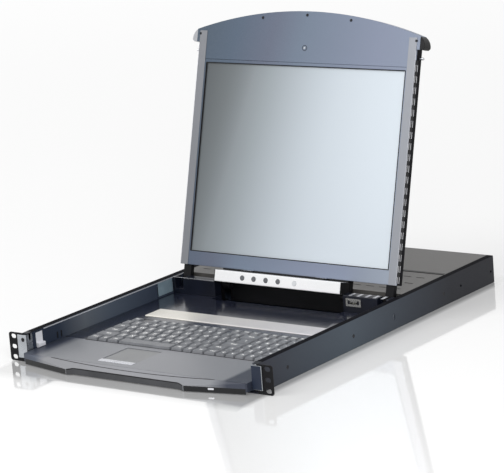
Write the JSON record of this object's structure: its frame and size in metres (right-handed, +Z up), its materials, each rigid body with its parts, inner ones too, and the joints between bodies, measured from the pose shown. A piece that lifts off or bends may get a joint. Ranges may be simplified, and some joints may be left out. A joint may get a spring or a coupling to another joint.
{
  "type": "rackmount lcd console drawer",
  "caption": "Rack console drawer: a sliding tray with keyboard and touchpad under a fold-up flat display with an arched handle, in a slim chassis with slotted ears.",
  "frame": {"origin": "on the chassis's flat underside, midway between the sides, in the plane of the rack ears' back faces", "axes": "+X to the right seen from the front, +Y from the ears to the rear of the chassis, +Z up"},
  "size_m": [0.4826, 0.6758, 0.452],
  "materials": {
    "chassis_paint": "satin blue-black powder coat",
    "ear_paint": "black powder coat",
    "cover_paint": "satin dark grey powder coat",
    "zinc": "zinc plated",
    "steel": "bright steel",
    "screw_black": "black zinc",
    "board": "solder mask",
    "connector": "nickel plated",
    "black_plastic": "moulded",
    "deck_plastic": "satin moulded",
    "lid_plastic": "metallic blue-grey paint",
    "lid_shell": "black powder coat",
    "screen": "anti-glare polariser",
    "bar_plastic": "silver-white moulded",
    "button_plastic": "moulded",
    "key_plastic": "moulded",
    "pad_surface": "fine satin",
    "pad_button": "silver paint",
    "strip_plastic": "silver paint",
    "catch_plastic": "white moulded",
    "supply_case": "plain"
  },
  "bodies": {
    "chassis": {"base_pan": "chassis_paint", "side_channel_left": "chassis_paint", "side_channel_right": "chassis_paint", "rack_ear_left": "ear_paint", "rack_ear_right": "ear_paint", "rear_panel": "chassis_paint", "rear_top_cover": "cover_paint", "slide_outer_left": "zinc", "slide_outer_right": "zinc", "main_board": "board", "power_supply": "supply_case", "power_inlet": "black_plastic", "video_ports": "connector", "console_ports": "connector", "chassis_screws": "screw_black"},
    "drawer": {"drawer_pan": "chassis_paint", "latch_plates": "zinc", "slide_inner_left": "zinc", "slide_inner_right": "zinc", "front_handle": "deck_plastic", "top_deck": "deck_plastic", "keyboard_base": "black_plastic", "touchpad": "pad_surface", "accent_strip": "strip_plastic", "corner_block_left": "black_plastic", "corner_block_right": "black_plastic", "usb_socket": "connector", "hinge_brackets": "ear_paint", "drawer_rear_cover": "cover_paint", "controller_board": "board"},
    "lid": {"lid_bezel": "lid_plastic", "lid_handle": "lid_plastic", "wing_end_caps": "black_plastic", "lcd_panel": "screen", "lcd_driver_board": "board", "lid_back_shell": "lid_shell", "hinge_arms": "ear_paint", "hinge_pins": "steel", "lock_pins": "steel", "lid_screws": "screw_black", "control_bar": "bar_plastic"},
    "power_rocker": {"power_rocker": "black_plastic"},
    "slide_middle_left": {"slide_middle_left": "zinc"},
    "slide_middle_right": {"slide_middle_right": "zinc"},
    "keys_bottom_row": {"keys_bottom_row": "key_plastic"},
    "keys_lower_row": {"keys_lower_row": "key_plastic"},
    "keys_home_row": {"keys_home_row": "key_plastic"},
    "keys_upper_row": {"keys_upper_row": "key_plastic"},
    "keys_number_row": {"keys_number_row": "key_plastic"},
    "keys_function_row": {"keys_function_row": "key_plastic"},
    "space_bar": {"space_bar": "key_plastic"},
    "touchpad_button_left": {"touchpad_button_left": "pad_button"},
    "touchpad_button_right": {"touchpad_button_right": "pad_button"},
    "release_catch_left": {"release_catch_left": "catch_plastic"},
    "release_catch_right": {"release_catch_right": "catch_plastic"},
    "menu_button_1": {"menu_button_1": "button_plastic"},
    "menu_button_2": {"menu_button_2": "button_plastic"},
    "menu_button_3": {"menu_button_3": "button_plastic"},
    "menu_button_4": {"menu_button_4": "button_plastic"},
    "power_button": {"power_button": "button_plastic"}
  },
  "joints": [
    {"name": "drawer_slide", "type": "slide", "parent": "chassis", "child": "drawer", "axis": [0, -1, 0], "range_m": [0, 0.4]},
    {"name": "slide_middle_left_travel", "type": "slide", "parent": "chassis", "child": "slide_middle_left", "axis": [0, -1, 0], "range_m": [0, 0.2]},
    {"name": "slide_middle_right_travel", "type": "slide", "parent": "chassis", "child": "slide_middle_right", "axis": [0, -1, 0], "range_m": [0, 0.2]},
    {"name": "lid_hinge", "type": "hinge", "parent": "drawer", "child": "lid", "pos_m": [0, 0.3727, 0.0325], "axis": [1, 0, 0], "range_deg": [-9.3, 105.67]},
    {"name": "power_rocker_tilt", "type": "hinge", "parent": "chassis", "child": "power_rocker", "pos_m": [-0.1605, 0.6345, 0.021], "axis": [1, 0, 0], "range_deg": [-16, 0]},
    {"name": "keys_bottom_row_press", "type": "slide", "parent": "drawer", "child": "keys_bottom_row", "axis": [0, 0, -1], "range_m": [0, 0.0025], "stiffness_N_per_m": 500, "springref_m": -0.002},
    {"name": "keys_lower_row_press", "type": "slide", "parent": "drawer", "child": "keys_lower_row", "axis": [0, 0, -1], "range_m": [0, 0.0025], "stiffness_N_per_m": 500, "springref_m": -0.002},
    {"name": "keys_home_row_press", "type": "slide", "parent": "drawer", "child": "keys_home_row", "axis": [0, 0, -1], "range_m": [0, 0.0025], "stiffness_N_per_m": 500, "springref_m": -0.002},
    {"name": "keys_upper_row_press", "type": "slide", "parent": "drawer", "child": "keys_upper_row", "axis": [0, 0, -1], "range_m": [0, 0.0025], "stiffness_N_per_m": 500, "springref_m": -0.002},
    {"name": "keys_number_row_press", "type": "slide", "parent": "drawer", "child": "keys_number_row", "axis": [0, 0, -1], "range_m": [0, 0.0025], "stiffness_N_per_m": 500, "springref_m": -0.002},
    {"name": "keys_function_row_press", "type": "slide", "parent": "drawer", "child": "keys_function_row", "axis": [0, 0, -1], "range_m": [0, 0.0025], "stiffness_N_per_m": 500, "springref_m": -0.002},
    {"name": "space_bar_press", "type": "slide", "parent": "drawer", "child": "space_bar", "axis": [0, 0, -1], "range_m": [0, 0.0025], "stiffness_N_per_m": 500, "springref_m": -0.002},
    {"name": "touchpad_button_left_press", "type": "slide", "parent": "drawer", "child": "touchpad_button_left", "axis": [0, 0, -1], "range_m": [0, 0.0008], "stiffness_N_per_m": 600, "springref_m": -0.001},
    {"name": "touchpad_button_right_press", "type": "slide", "parent": "drawer", "child": "touchpad_button_right", "axis": [0, 0, -1], "range_m": [0, 0.0008], "stiffness_N_per_m": 600, "springref_m": -0.001},
    {"name": "menu_button_1_press", "type": "slide", "parent": "lid", "child": "menu_button_1", "axis": [0, 0.9628, -0.2701], "range_m": [0, 0.0008], "stiffness_N_per_m": 600, "springref_m": -0.001},
    {"name": "menu_button_2_press", "type": "slide", "parent": "lid", "child": "menu_button_2", "axis": [0, 0.9628, -0.2701], "range_m": [0, 0.0008], "stiffness_N_per_m": 600, "springref_m": -0.001},
    {"name": "menu_button_3_press", "type": "slide", "parent": "lid", "child": "menu_button_3", "axis": [0, 0.9628, -0.2701], "range_m": [0, 0.0008], "stiffness_N_per_m": 600, "springref_m": -0.001},
    {"name": "menu_button_4_press", "type": "slide", "parent": "lid", "child": "menu_button_4", "axis": [0, 0.9628, -0.2701], "range_m": [0, 0.0008], "stiffness_N_per_m": 600, "springref_m": -0.001},
    {"name": "power_button_press", "type": "slide", "parent": "lid", "child": "power_button", "axis": [0, 0.9628, -0.2701], "range_m": [0, 0.0008], "stiffness_N_per_m": 600, "springref_m": -0.001},
    {"name": "release_catch_left_press", "type": "slide", "parent": "drawer", "child": "release_catch_left", "axis": [-1, 0, 0], "range_m": [0, 0.002], "stiffness_N_per_m": 600, "springref_m": -0.002},
    {"name": "release_catch_right_press", "type": "slide", "parent": "drawer", "child": "release_catch_right", "axis": [1, 0, 0], "range_m": [0, 0.002], "stiffness_N_per_m": 600, "springref_m": -0.002}
  ],
  "couplings": [
    {"joint": "slide_middle_left_travel", "follows": "drawer_slide", "ratio": 0.5},
    {"joint": "slide_middle_right_travel", "follows": "drawer_slide", "ratio": 0.5}
  ]
}
